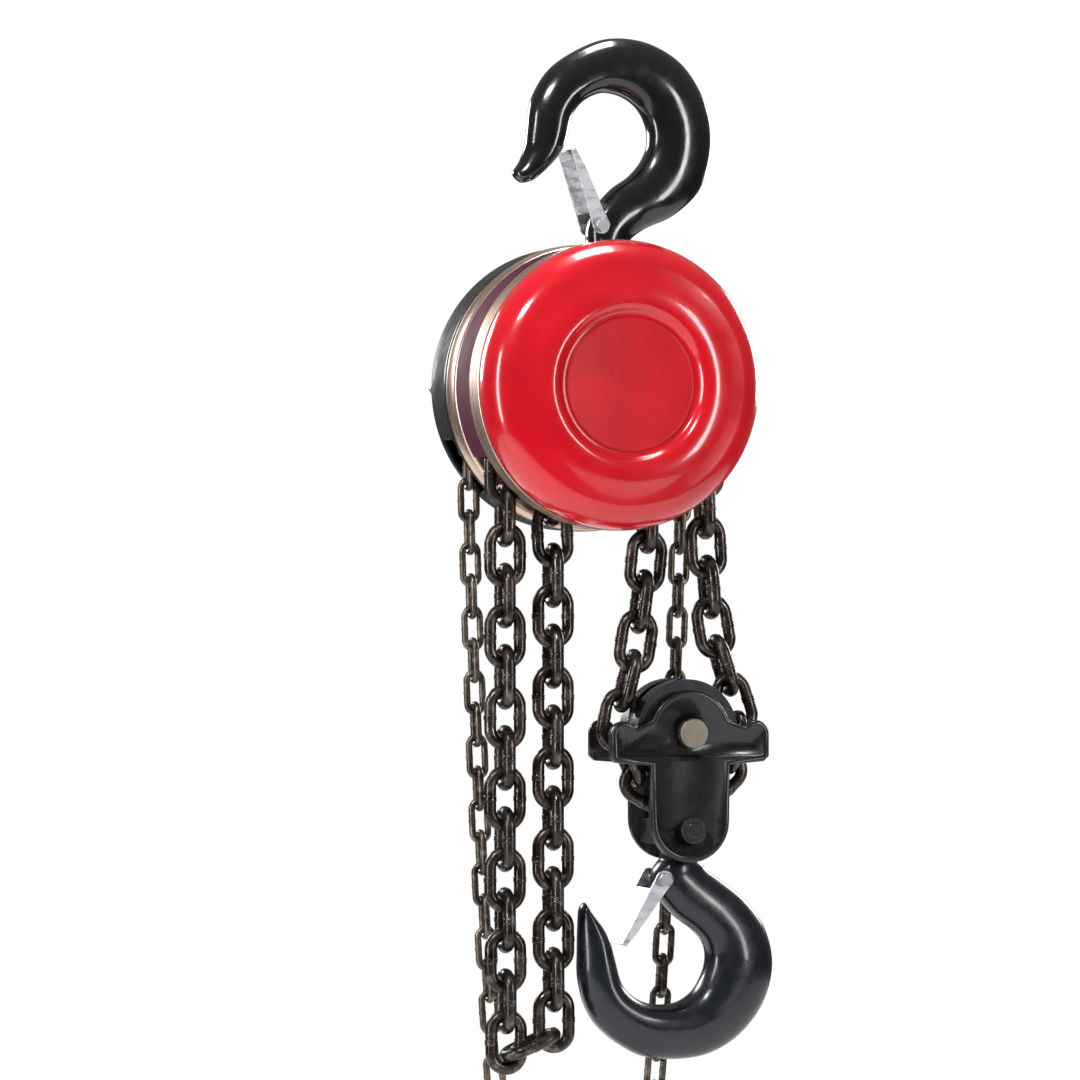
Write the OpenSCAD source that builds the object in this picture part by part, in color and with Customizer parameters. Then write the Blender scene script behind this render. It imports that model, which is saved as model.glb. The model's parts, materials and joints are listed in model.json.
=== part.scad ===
/* [Suspension and body] */
// Distance from the top hook's saddle down to the load sheave's axis
saddle_h = 218.7; // [200:1:240]
// Sideways offset of the hook shank from the load sheave's axis
hook_x = 7; // [0:1:12]
// Outer radius of the drum-shaped body
body_r = 107; // [95:1:120]
// Half of the gap between the two side plates
gap_h = 16.5; // [16:0.1:20]
// Thickness of each side plate
plate_t = 8; // [5:0.5:10]
// Depth from the load chain's plane to the gear cover's rim
rim_front = 44; // [40:1:50]
// Depth from the load chain's plane to the gear cover's front
cover_front = 80; // [72:1:90]
// Depth from the load chain's plane to the rear side plate's rim
rim_rear = 36; // [32:1:40]
// Depth from the load chain's plane to the back of the hand-wheel cover
cover_back = 85; // [80:1:95]

/* [Load chain] */
// Pitch of the load chain
chain_p = 30; // [27:0.5:32]
// Wire diameter of the load chain
chain_d = 9; // [8:0.5:10]
// Inside width of a load chain link
chain_b = 14; // [12:0.5:15]
// Sideways place of the anchored slack strand
slack_x = -72.4; // [-75:0.1:-60]
// Sideways place of the slack strand that comes off the sheave
slack_x2 = -35; // [-40:0.5:-30]

/* [Hand chain] */
// Pitch of the hand chain
hand_p = 24; // [20:0.5:26]
// Wire diameter of the hand chain
hand_d = 5; // [4:0.5:6]
// Inside width of a hand chain link
hand_b = 7; // [6:0.5:9]
// Depth of the hand chain's plane behind the load chain's plane
hand_y = 53; // [50:0.5:58]
// Sag constant of the hand chain's hanging loop
sag_a = 20; // [16:0.5:30]
// Pairs of links in each hanging side of the hand chain's loop
hand_pairs = 15; // [10:1:20]

/* [Gear train] */
// Distance from the sheave's axis to each disc gear's axis
gear_cd = 50; // [50:1:50]
// Module of the fast gear pair
mod_1 = 2; // [2:0.5:2]
// Module of the slow gear pair
mod_2 = 2.5; // [2.5:0.5:2.5]
// Backlash taken off each tooth at its pitch circle
backlash = 0.16; // [0.1:0.01:0.3]

/* [Hook block] */
// Sideways place of the hook block's centre line
block_x = 63.4; // [60:0.1:66]
// Drop from the load sheave's axis to the idler's axis
idler_drop = 257; // [250:1:265]
// Half of the gap between the hook block's halves
block_gap = 21; // [20:0.5:23]
// Thickness of each half of the hook block
block_t = 8; // [6:0.5:10]
// Drop from the load sheave's axis to the crosshead's axis
cross_drop = 329; // [325:1:335]

/* [Hidden] */
// Running clearance of round fits
run = 0.05;

// Load chain: half the distance between the crown wires, then the two chords of the bending chain
link_half = chain_p / 2 + 0.5 + chain_d / 2;
chord_f = 2 * link_half;
chord_u = 2 * chain_p - chord_f;
// Pivot circle for n pockets
function pivot_r(n, cf, cu) =
    sqrt(cf * cf / 4 + cu * cu / 4 + cf * cu / 2 * cos(180 / n)) / sin(180 / n);
sheave_r = pivot_r(4, chord_f, chord_u);
idler_r = pivot_r(5, chord_f, chord_u);
sheave_half_f = asin(chord_f / 2 / sheave_r);
idler_half_f = asin(chord_f / 2 / idler_r);
idler_half_u = asin(chord_u / 2 / idler_r);

hand_half = hand_p / 2 + 0.4 + hand_d / 2;
hand_f = 2 * hand_half;
hand_u = 2 * hand_p - hand_f;
hand_r = pivot_r(11, hand_f, hand_u);
hand_half_f = asin(hand_f / 2 / hand_r);
hand_half_u = asin(hand_u / 2 / hand_r);

plate_out = gap_h + plate_t;
flange_in = body_r - 4;
yoke_z = 86;
stays = [[72, 58], [-72, 58], [-88.6, -36.5], [61.8, -73]];
lugs = [[84, 44], [-84, 44], [0, -94]];
stud_r = 99;
stud_angles = [60, 180, 300];
pawl_pin_r = 62;
pawl_angles = [125, 305];
idler = [block_x, -idler_drop];

// A point at a polar place, and the turn that lays a part's axis along +Y
function polar(r, t) = [r * cos(t), r * sin(t)];
module body_frame() translate([-hook_x, 0, -saddle_h]) children();
// Places a child drawn in X and Y, extruded along Z, so that it lies in X and Z and runs along +Y
module along_y(y0 = 0) translate([0, y0, 0]) rotate([90, 0, 0]) mirror([0, 0, 1]) children();
module rod(x, z, y0, y1, r, n = 48) along_y(y0) translate([x, z, 0]) cylinder(h = y1 - y0, r = r, $fn = n);

// One chain link of wire d, centred on p in the X-Z plane, along direction a from +X, flat or upright
module link(p, a, half, d, b, flat, y = 0) {
    rc = (b + d) / 2;
    st = half - rc;
    translate([p[0], y, p[1]]) rotate([0, -a, 0]) rotate([flat ? 0 : 90, 0, 0]) {
        for (s = [0, 180]) rotate([0, 0, s]) {
            translate([st, 0, 0]) rotate([0, 0, -90])
                rotate_extrude(angle = 180, $fn = 40) translate([rc, 0]) circle(d = d, $fn = 20);
            translate([-st, rc, 0]) rotate([0, 90, 0]) cylinder(h = 2 * st, d = d, $fn = 20);
        }
    }
}
module span_link(p, q, half, d, b, flat, y = 0)
    link((p + q) / 2, atan2(q[1] - p[1], q[0] - p[0]), half, d, b, flat, y);
// Links strung on a list of pivots; the first one is flat or upright
module strand(pts, half, d, b, first_flat, y = 0, from = 0, to = 999)
    for (i = [from : min(to, len(pts) - 2)])
        span_link(pts[i], pts[i + 1], half, d, b, (i % 2 == 0) == first_flat, y);
module load_strand(pts, first_flat, from = 0, to = 999)
    strand(pts, link_half, chain_d, chain_b, first_flat, 0, from, to);
module hand_strand(pts, first_flat, from = 0, to = 999)
    strand(pts, hand_half, hand_d, hand_b, first_flat, hand_y, from, to);

// Running sum of steps [length, lean to the left] down (-1) or up (1) from a start point
function walk(p, steps, i = 0, dir = -1) =
    i == len(steps) ? [p] : concat([p], walk(
        p + steps[i][0] * [-sin(steps[i][1]), dir * cos(steps[i][1])], steps, i + 1, dir));

// Live fall from the sheave to the idler, as pivots
fall_top = [[sheave_r, 0], [sheave_r, -chord_u], [sheave_r, -chord_u - chord_f],
            [sheave_r, -2 * chord_u - chord_f]];
fall_low = walk(fall_top[3], [[chord_f, 1], [chord_u, 6], [chord_f, 7.5], [chord_u, 9]]);
function meet(p, c, l, r) = let (d = norm(c - p), t = atan2(c[1] - p[1], c[0] - p[0]),
    k = acos((l * l + d * d - r * r) / (2 * l * d))) p + polar(l, t - k);
fall_end = meet(fall_low[4], idler, chord_f, idler_r);
live_pts = concat(fall_top, [for (i = [1:4]) fall_low[i]], [fall_end]);
// Around the idler, then up the anchored fall
idler_a0 = atan2(fall_end[1] - idler[1], fall_end[0] - idler[0]);
idler_pts = [for (i = [0:6]) idler + polar(idler_r,
    idler_a0 + 2 * (ceil(i / 2) * idler_half_u + floor(i / 2) * idler_half_f))];
dead_pts = walk(idler_pts[6], [[chord_u, 18], [chord_f, 17], [chord_u, 10], [chord_f, 5],
    [chord_u, 3], [chord_f, 2], [chord_u, 0], [chord_f, 0], [chord_u, 0]], 0, 1);
dead_x = dead_pts[8][0];
dead_pin_z = (dead_pts[8][1] + dead_pts[9][1]) / 2 + link_half - chain_d / 2 - 5.3;
// Over the sheave and down to the slack side's swing line
over_pts = concat([for (t = [0, 2 * sheave_half_f, 90, 90 + 2 * sheave_half_f]) polar(sheave_r, t)],
    [[-sheave_r, 0], [-sheave_r, -chord_f], [-sheave_r + 1.2, -chord_f - chord_u],
     [-sheave_r + 3.4, -2 * chord_f - chord_u], [slack_x2, -2 * chord_f - 2 * chord_u]]);
slack_z2 = over_pts[8][1];
slack_z1 = -125 - chord_u / 2;
// A slack side of n links, its last few splayed by w each so that one link can join both sides
function down(x, z, w, i = 0, n = 12) = i > n ? [] :
    concat([[x + w * max(0, i - n + 4), z]], down(x, z - (i % 2 == 0 ? chord_f : chord_u), w, i + 1, n));
slack_a = down(slack_x, slack_z1, 0.25);
slack_b = down(slack_x2, slack_z2, 0.17);
slack_held = [for (z = [0, chord_u, chord_u + chord_f, 2 * chord_u + chord_f]) [slack_x, slack_z1 + z]];
slack_pin_z = slack_held[3][1] - chord_u / 2 + link_half - chain_d / 2 - 5.3;

// Hand chain's hanging loop: a catenary, straight up where it enters the cover
top_a = 90 - hand_half_f - 2 * hand_half_u - 4 * (180 / 11);
top_p = polar(hand_r, top_a);
s_top = sag_a * (exp(top_p[0] / sag_a) - exp(-top_p[0] / sag_a)) / 2;
function asinh(v) = ln(v + sqrt(v * v + 1));
function sag(s) = s < s_top ? [sag_a * asinh(s / sag_a), sqrt(sag_a * sag_a + s * s) - sag_a]
    : [top_p[0], sqrt(sag_a * sag_a + s_top * s_top) - sag_a + s - s_top];
function chord(s, t) = norm(sag(t) - sag(s));
function step(s, l, t, n = 4) = n == 0 ? t : step(s, l, s + (t - s) * l / chord(s, t), n - 1);
function climb(s, i) = i > 2 * hand_pairs ? [s] :
    let (l = i % 2 == 0 ? hand_f : hand_u) concat([s], climb(step(s, l, s + l), i + 1));
// Arc lengths of the pivots, from the lowest link's end up to the wheel
sag_s = climb(step(0, hand_u / 2, hand_u / 2), 0);
sag_z = top_p[1] - sag(sag_s[len(sag_s) - 1])[1];
function hand_side(m) = [for (i = [len(sag_s) - 1 : -1 : 0])
    [m * sag(sag_s[i])[0], sag(sag_s[i])[1] + sag_z]];

// Turned and drilled basics, all along +Y
module ring(y0, y1, ro, ri, x = 0, z = 0) difference() {
    rod(x, z, y0, y1, ro, 96);
    rod(x, z, y0 - 1, y1 + 1, ri, 96);
}
module rods_at(pts, y0, y1, r) for (p = pts) rod(p[0], p[1], y0, y1, r, 32);
module hex_nut(x, z, y0, y1, r, bore) difference() {
    rod(x, z, y0, y1, r, 6);
    rod(x, z, y0 - 1, y1 + 1, bore, 32);
}
stud_pts = [for (t = stud_angles) polar(stud_r, t)];
anchor_pts = [[slack_x, slack_pin_z], [dead_x, dead_pin_z]];
roller_pts = [[-12, -88], [12, -88]];
pawl_pts = [for (t = pawl_angles) polar(pawl_pin_r, t)];
disc_pts = [[gear_cd, 0], [-gear_cd, 0]];

// Involute tooth: polar points of one flank, then the whole gear outline
function inv(r, rb) = let (t = sqrt(max(0, r * r / rb / rb - 1))) t * 180 / PI - atan(t);
function tooth(m, z, x, side, n = 8) = let (
    rp = m * z / 2, rb = rp * cos(20), ro = rp + m * (z < 12 ? 0.75 + x : 1 + x), rr = rp - m * (1.25 - x),
    half = 90 / z + (2 * x * tan(20) / z - backlash / (2 * rp)) * 180 / PI,
    r0 = max(rb, rr)) concat([polar(rr, side * (half + inv(rp, rb)))],
    [for (i = [0 : n]) let (r = r0 + (ro - r0) * i / n) polar(r, side * (half + inv(rp, rb) - inv(r, rb)))]);
module gear(m, z, x, y0, y1, phase = 0) along_y(y0) linear_extrude(y1 - y0) rotate(phase)
    polygon([for (k = [0 : z - 1])
        let (a = tooth(m, z, x, -1), b = tooth(m, z, x, 1), n = len(a), t = k * 360 / z)
        for (i = [0 : 2 * n - 1]) let (p = i < n ? a[i] : b[2 * n - 1 - i])
            [p[0] * cos(t) - p[1] * sin(t), p[0] * sin(t) + p[1] * cos(t)]]);

// Forged shape through stations [inner x, inner z, outer x, outer z, half thickness]
function spline(a, b, c, d, u) = b
    + 0.5 * u * (c - a + u * (2 * a - 5 * b + 4 * c - d + u * (3 * (b - c) + d - a)));
function smooth_stations(s, k) = let (n = len(s)) concat([for (i = [0 : n - 2], j = [0 : k - 1])
    spline(s[max(i - 1, 0)], s[i], s[i + 1], s[min(i + 2, n - 1)], j / k)], [s[n - 1]]);
module forging(stations, k, flip, m = 18) {
    r = smooth_stations(stations, k);
    n = len(r);
    pts = [for (q = r, j = [0 : m - 1]) let (t = j * 360 / m, c = cos(t)) [
        (q[0] + q[2]) / 2 + (q[2] - q[0]) / 2 * c, q[4] * sin(t) * (1 - 0.16 * c),
        (q[1] + q[3]) / 2 + (q[3] - q[1]) / 2 * c]];
    function face(f) = flip ? [for (i = [len(f) - 1 : -1 : 0]) f[i]] : f;
    polyhedron(pts, concat(
        [face([for (j = [m - 1 : -1 : 0]) j]), face([for (j = [0 : m - 1]) (n - 1) * m + j])],
        [for (i = [0 : n - 2], j = [0 : m - 1]) let (a = i * m + j, b = i * m + (j + 1) % m)
            each [face([a, b, b + m]), face([a, b + m, a + m])]]));
}
top_bowl = [[-59, 151, -62, 153, 4], [-50, 153.5, -66.5, 158.5, 9], [-40, 162, -61.5, 166, 11.5],
    [-31, 172, -57, 178, 13], [-25.7, 183, -55.5, 191, 14], [-21.5, 200, -52, 213, 15],
    [-14, 210.5, -37, 236.5, 15.5], [-3, 217, -10, 253.5, 16], [7, 218.7, 14, 259.7, 16],
    [20, 215.5, 42, 255.5, 16], [31.5, 207, 68, 239, 16], [38, 194, 86, 208, 16],
    [38.8, 181, 89, 178, 15.5], [34, 168.5, 80, 148.5, 15], [24, 157, 60, 129, 14.5],
    [10, 147, 39.5, 119.5, 14], [-3, 132, 29, 113.2, 14], [-8.8, 117.5, 24.6, 108.8, 13.5],
    [-8.7, 108, 22.6, 104, 13], [-8.2, 103, 22.1, 101, 12.5], [-8, 99.5, 22, 99.5, 12]];
low_bowl = [[-10, -383, -12.5, -384, 4], [-6, -390, -15, -391.5, 9], [1.5, -400, -15.6, -404, 12],
    [7.5, -410, -15.8, -420, 14.5], [11.5, -424, -15.4, -440, 16.5], [16.5, -441.9, -9, -463, 17.5],
    [25, -452.4, 5, -481, 18], [37, -458.7, 30, -497, 18.5], [50.9, -460.5, 55, -501.5, 18.5],
    [64, -458.5, 85.3, -498.5, 18.5], [76, -450, 111, -484.5, 18.5], [83.5, -436, 130, -461, 18],
    [85.3, -424, 137.5, -432, 18], [82, -413.5, 131, -404, 17.5], [73.6, -404.7, 115, -383, 17],
    [61, -395.5, 98, -369.5, 16.5], [51, -385, 88, -362.5, 16], [42.5, -373, 84, -359, 15.5],
    [43, -361, 82, -356.5, 15.5], [49.4, -352, 77.4, -352, 14]];
latch_top = [-2.5, 119.5];
latch_low = [46.5, -366];

// Sprung safety latch: a channel pivoted at p, running along direction a; m = -1 mirrors it
module latch(p, a, len, m, y_in, t = 1.8) along_y(0) translate([p[0], p[1], 0]) rotate(a) scale([1, m, 1])
    difference() {
        union() {
            for (s = [0, 1]) mirror([0, 0, s]) translate([0, 0, y_in]) linear_extrude(t) {
                circle(r = 6.5, $fn = 48);
                polygon([[-1, -6.4], [len, -5], [len, -2], [len - 14, 1], [14, 4.5], [1, 6.4]]);
            }
            translate([11, -5.5, -y_in - t]) cube([len - 11, t, 2 * (y_in + t)]);
        }
        translate([0, 0, -y_in - t - 1]) cylinder(h = 2 * (y_in + t + 1), r = 3 + run, $fn = 48);
    }
module latch_rivet(p, y_in) {
    rod(p[0], p[1], -y_in - 5.8, y_in + 2.6, 3, 32);
    rod(p[0], p[1], y_in + 2.4, y_in + 4, 5, 32);
    rod(p[0], p[1], -y_in - 7, -y_in - 5.6, 5, 32);
}
module latch_coils(p, y_in) for (y = [-y_in - 2.9, -y_in - 4.5]) along_y(y) translate([p[0], p[1], 0])
    rotate_extrude($fn = 40) translate([4.2, 0]) circle(d = 1.3, $fn = 16);

// Top hook, latch and suspension
module top_hook() color([0.06, 0.06, 0.065]) body_frame() {
    difference() {
        forging(top_bowl, 3, false);
        rod(latch_top[0], latch_top[1], -30, 30, 3 + 0.02, 32);
    }
    translate([hook_x, 0, yoke_z - 12]) cylinder(h = 30, r = 10, $fn = 64);
    translate([hook_x, 0, yoke_z - 25]) cylinder(h = 14, r = 9, $fn = 64);
}
module top_hook_nut() color([0.4, 0.4, 0.42]) body_frame()
    translate([hook_x, 0, yoke_z - 24.5]) difference() {
    cylinder(h = 12, r = 15, $fn = 6);
    translate([0, 0, -1]) cylinder(h = 14, r = 9 + 0.02, $fn = 64);
}
module top_latch_pin() color([0.55, 0.55, 0.57]) body_frame() latch_rivet(latch_top, 14.8);
module top_latch_spring() color([0.7, 0.7, 0.72]) body_frame() latch_coils(latch_top, 14.8);
module top_hook_latch() color([0.62, 0.64, 0.66]) body_frame() latch(latch_top, 108, 60, -1, 14.8);
module suspension_yoke() color([0.3, 0.3, 0.31]) body_frame() difference() {
    union() {
        translate([hook_x - 20, -gap_h + 0.6, yoke_z - 11.9]) cube([40, 2 * gap_h - 1.2, 23.8]);
        rod(hook_x, yoke_z, -plate_out + 1, plate_out - 1, 9);
    }
    translate([hook_x, 0, yoke_z - 20]) cylinder(h = 40, r = 10 + run, $fn = 64);
}

// Side plates and what joins them
module plate_holes() {
    rod(hook_x, yoke_z, -50, 50, 9 + run);
    rods_at(stays, -50, 50, 3.6);
    rods_at(anchor_pts, -50, 50, 5 + 0.02);
    rods_at(roller_pts, -50, 50, 4 + 0.02);
}
module front_side_plate() color([0.55, 0.5, 0.44]) body_frame() difference() {
    rod(0, 0, -rim_front, -gap_h, body_r, 96);
    rod(0, 0, -rim_front - 1, -plate_out, flange_in, 96);
    rod(0, 0, -50, 0, 22 + 0.02);
    plate_holes();
    rods_at(disc_pts, -50, 0, 6 + run);
    rods_at(lugs, -50, 0, 2.6);
    rods_at(lugs, -gap_h - 4, 0, 4.8);
}
module rear_side_plate() color([0.55, 0.5, 0.44]) body_frame() difference() {
    rod(0, 0, gap_h, rim_rear, body_r, 96);
    rod(0, 0, plate_out, rim_rear + 1, flange_in, 96);
    rod(0, 0, 0, 50, 22 + 0.02);
    plate_holes();
    rods_at(stud_pts, 0, 50, 3 + 0.02);
    rods_at(pawl_pts, 0, 50, 4 + 0.02);
}
module guard(a0, a1) along_y(-gap_h + 0.1) rotate([0, 0, a0])
    rotate_extrude(angle = a1 - a0, $fn = 120) translate([body_r - 4.5, 0]) square([3, 2 * gap_h - 0.2]);
module side_guard_left() color([0.2, 0.05, 0.1]) body_frame() guard(108, 210);
module side_guard_right() color([0.2, 0.05, 0.1]) body_frame() guard(-8, 72);
module stay_spacers() color([0.5, 0.5, 0.5]) body_frame()
    for (p = stays) ring(-gap_h + 0.05, gap_h - 0.05, 5, 3.6, p[0], p[1]);
module stay_bolts() color([0.55, 0.55, 0.56]) body_frame() for (p = stays) {
    rod(p[0], p[1], -plate_out, plate_out + 6.5, 3.5, 32);
    rod(p[0], p[1], -plate_out - 4, -plate_out, 6.2, 6);
}
module chain_anchor_pins() color([0.5, 0.5, 0.5]) body_frame() rods_at(anchor_pts, -plate_out, plate_out, 5);
module roller_pins() color([0.6, 0.6, 0.6]) body_frame()
    rods_at(roller_pts, -plate_out - 1, plate_out + 1, 4);
module roller(p) difference() {
    rod(p[0], p[1], -gap_h + 0.8, gap_h - 0.8, 10);
    rod(p[0], p[1], -gap_h, gap_h, 4 + run);
}
module guide_roller_left() color([0.7, 0.7, 0.7]) body_frame() roller(roller_pts[0]);
module guide_roller_right() color([0.7, 0.7, 0.7]) body_frame() roller(roller_pts[1]);
module chain_stripper() color([0.5, 0.5, 0.48]) body_frame() {
    translate([-15, -gap_h + 0.1, -62]) cube([30, 2 * gap_h - 0.2, 12]);
    translate([-8, -4, -51]) cube([16, 8, 22]);
}
module sheave_bearings() color([0.75, 0.75, 0.75]) body_frame()
    for (y = [-plate_out, gap_h]) ring(y, y + plate_t, 22, 17 + run);

// Gear cover: a drawn shell with bearing bosses and screw lugs inside
function shell(t) = [for (a = [0 : 7.5 : 90])
    [body_r - 23 + (23 - t) * cos(a), cover_front - 30 + (25 - t) * sin(a)]];
cover_out = concat([[body_r, rim_front + 0.1]], shell(0),
    [[78, 77], [72, 78.8], [67, 79.7], [62, 80], [58.5, 79.6],
    [55.5, 78.2], [53, 76.2], [51.5, 74.6], [49.9, 74], [0, 74]]);
cover_in = concat([[0, 71], [50, 71], [56, 74.5], [62, 77], [72, 75.8]],
    [for (i = [12 : -1 : 0]) shell(3)[i]], [[body_r - 3, rim_front + 0.1]]);
module gear_cover() color([0.82, 0.02, 0.05]) body_frame() difference() {
    union() {
        mirror([0, 1, 0]) along_y(0) rotate_extrude($fn = 160) polygon(concat(cover_out, cover_in));
        ring(-rim_front - 8, -rim_front + 6, flange_in - 0.1, flange_in - 3);
        rods_at(disc_pts, -72.5, -54, 11);
        rods_at([[0, 0]], -72.5, -54, 10);
        rods_at(lugs, -64, -plate_out - 0.1, 7);
    }
    rods_at(disc_pts, -67, -50, 6 + run);
    rods_at([[0, 0]], -67, -50, 5 + run);
    rods_at(lugs, -56, 0, 2.5 + 0.02);
}
module gear_cover_screws() color([0.5, 0.5, 0.5]) body_frame() for (p = lugs) {
    rod(p[0], p[1], -52, -gap_h - 3.9, 2.5, 32);
    rod(p[0], p[1], -gap_h - 3.9, -gap_h - 0.4, 4.5, 32);
}
module name_disc() color([0.75, 0.03, 0.05]) body_frame() rod(0, 0, -75, -74.05, 49.6, 96);

// Load sheave with four pockets, and its spline gear
module load_sheave() color([0.45, 0.45, 0.46]) body_frame() difference() {
    union() {
        difference() {
            rod(0, 0, -gap_h + 0.7, gap_h - 0.7, 43, 96);
            for (k = [0 : 3]) rotate([0, -sheave_half_f - 90 * k, 0])
                translate([29.3, -20, -26.3]) cube([30, 40, 52.6]);
            ring(-chain_d / 2 - 0.7, chain_d / 2 + 0.7, 60, 21.8);
        }
        rod(0, 0, -plate_out - 0.3, plate_out + 0.3, 17, 96);
        rod(0, 0, -38.5, -20, 12);
    }
    rod(0, 0, -50, 50, 8 + run);
}
module spline_gear() color([0.55, 0.55, 0.56]) body_frame() difference() {
    gear(mod_2, 30, -0.4, -37.5, -27.5, 6);
    rod(0, 0, -50, 0, 12 + 0.02);
}
module disc_gear(x) translate([x, 0, 0]) {
    gear(mod_1, 42, -0.5, -52, -43.5, 180 / 42);
    gear(mod_2, 10, 0.4, -43.6, -27, 0);
    rod(0, 0, -66, -51.9, 6);
    rod(0, 0, -27.1, -17.2, 6);
}
module disc_gear_right() color([0.5, 0.5, 0.52]) body_frame() disc_gear(gear_cd);
module disc_gear_left() color([0.5, 0.5, 0.52]) body_frame() disc_gear(-gear_cd);

// Input: pinion shaft, load brake and hand-chain wheel
module pinion_shaft() color([0.6, 0.6, 0.61]) body_frame() {
    rod(0, 0, -64, -52.9, 5);
    gear(mod_1, 8, 0.5, -53, -43, 0);
    rod(0, 0, -43.1, 76, 8);
}
module brake_hub() color([0.4, 0.4, 0.4]) body_frame() {
    ring(27, 30, 38, 8 + 0.02);
    ring(29.9, 38, 14, 8 + 0.02);
}
module friction_discs() color([0.35, 0.25, 0.18]) body_frame() {
    ring(30.1, 31.9, 36, 14.1);
    ring(36.3, 38.1, 36, 14.1);
}
ratchet_pts = [for (k = [0 : 15], s = [40, 46]) polar(s, pawl_angles[0] + 34 + 22.5 * k)];
module ratchet_disc() color([0.5, 0.48, 0.42]) body_frame() difference() {
    along_y(32.1) linear_extrude(4) polygon(ratchet_pts);
    rod(0, 0, 0, 60, 14 + run);
}
module pawl(t) let (p = polar(pawl_pin_r, t), q = polar(41.6, t + 30), u = polar(45.2, t + 28.5),
        n = polar(6.4, t + 60), w = polar(6.4, t + 240)) difference() {
    union() {
        rod(p[0], p[1], 32.1, 36.1, 7);
        along_y(32.1) linear_extrude(4) polygon([p + n, polar(46.2, t + 29.6), q, p + w]);
    }
    rod(p[0], p[1], 0, 60, 4 + run);
}
module pawl_upper() color([0.6, 0.6, 0.6]) body_frame() pawl(pawl_angles[0]);
module pawl_lower() color([0.6, 0.6, 0.6]) body_frame() pawl(pawl_angles[1]);
module pawl_pins() color([0.6, 0.6, 0.6]) body_frame() for (p = pawl_pts) {
    rod(p[0], p[1], gap_h + 0.1, 36.4, 4, 32);
    rod(p[0], p[1], 36.4, 37.6, 5.5, 32);
}
module pawl_springs() color([0.7, 0.7, 0.7]) body_frame() for (p = pawl_pts, y = [27, 29]) along_y(y)
    translate([p[0], p[1], 0]) rotate_extrude($fn = 40) translate([5.4, 0]) circle(d = 1.6, $fn = 16);
module hand_wheel() color([0.25, 0.25, 0.25]) body_frame() difference() {
    union() {
        difference() {
            ring(hand_y - 13, hand_y + 13, 89, 66);
            for (k = [0 : 10]) rotate([0, -90 - k * 360 / 11, 0])
                translate([80.2, hand_y - 9.2, -18]) cube([20, 18.4, 36]);
            ring(hand_y - 3.6, hand_y + 3.6, 95, 74.4);
        }
        ring(hand_y - 6, hand_y, 67, 18);
        ring(38.2, hand_y + 13, 20, 8 + 0.02);
    }
    rod(0, 0, 0, 90, 8 + 0.02);
    for (k = [0 : 5]) rod(43 * cos(60 * k), 43 * sin(60 * k), 30, 80, 11);
}
module shaft_nut() color([0.65, 0.65, 0.65]) body_frame() hex_nut(0, 0, hand_y + 13.2, hand_y + 20, 14, 8.02);

// Hand-wheel cover
module hand_wheel_cover() color([0.05, 0.05, 0.055]) body_frame() difference() {
    union() {
        along_y(0) rotate_extrude($fn = 160) polygon(concat([[0, cover_back]],
            [for (a = [90 : -10 : 0]) [body_r + 0.5 - 13 + 13 * cos(a), cover_back - 13 + 13 * sin(a)]],
            [[body_r + 0.5, rim_rear + 0.1], [body_r - 2, rim_rear + 0.1]],
            [for (a = [0 : 10 : 90]) [body_r - 12.5 + 10.5 * cos(a), cover_back - 13 + 10.5 * sin(a)]],
            [[0, cover_back - 2.5]]));
        rod(0, 0, cover_back - 6, cover_back, 14);
    }
    for (s = [-1, 1]) translate([s * 85.5 - 14, hand_y - 14, -112]) cube([28, 28, 84]);
    rods_at(stud_pts, 0, 100, 3.1);
}
module cover_studs() color([0.6, 0.6, 0.6]) body_frame() rods_at(stud_pts, gap_h + 0.1, cover_back + 6, 3);
module frame_nuts() color([0.6, 0.6, 0.6]) body_frame() {
    for (p = stays) hex_nut(p[0], p[1], plate_out + 0.1, plate_out + 5, 6.2, 3.52);
    for (p = stud_pts) hex_nut(p[0], p[1], cover_back + 0.1, cover_back + 4.6, 5.6, 3.02);
}

// Load chain
module load_chain_on_sheave() color([0.23, 0.2, 0.18]) body_frame() load_strand(over_pts, true);
module slack_chain_held_end() color([0.23, 0.2, 0.18]) body_frame() load_strand(slack_held, false);
module slack_chain_left() color([0.23, 0.2, 0.18]) body_frame() load_strand(slack_a, true);
module slack_chain_right() color([0.23, 0.2, 0.18]) body_frame() {
    load_strand(slack_b, true);
    span_link(slack_a[12], slack_b[12], link_half, chain_d, chain_b, true);
}
module load_chain_live_fall() color([0.23, 0.2, 0.18]) body_frame() load_strand(live_pts, false);
module load_chain_on_idler() color([0.23, 0.2, 0.18]) body_frame() load_strand(idler_pts, false);
module load_chain_dead_fall() color([0.23, 0.2, 0.18]) body_frame() load_strand(dead_pts, false);

// Hand chain
hand_wrap = [for (i = [0 : 11]) polar(hand_r,
    top_a + 2 * (ceil(i / 2) * hand_half_u + floor(i / 2) * hand_half_f))];
module hand_chain_on_wheel() color([0.3, 0.27, 0.24]) body_frame() {
    hand_strand(hand_wrap, false);
    for (m = [-1, 1]) hand_strand(hand_side(m), true, 0, 3);
}
module hand_chain_left() color([0.3, 0.27, 0.24]) body_frame() hand_strand(hand_side(-1), true, 4);
module hand_chain_right() color([0.3, 0.27, 0.24]) body_frame() {
    hand_strand(hand_side(1), true, 4);
    span_link(hand_side(-1)[2 * hand_pairs + 1], hand_side(1)[2 * hand_pairs + 1],
        hand_half, hand_d, hand_b, false, hand_y);
}

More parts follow.
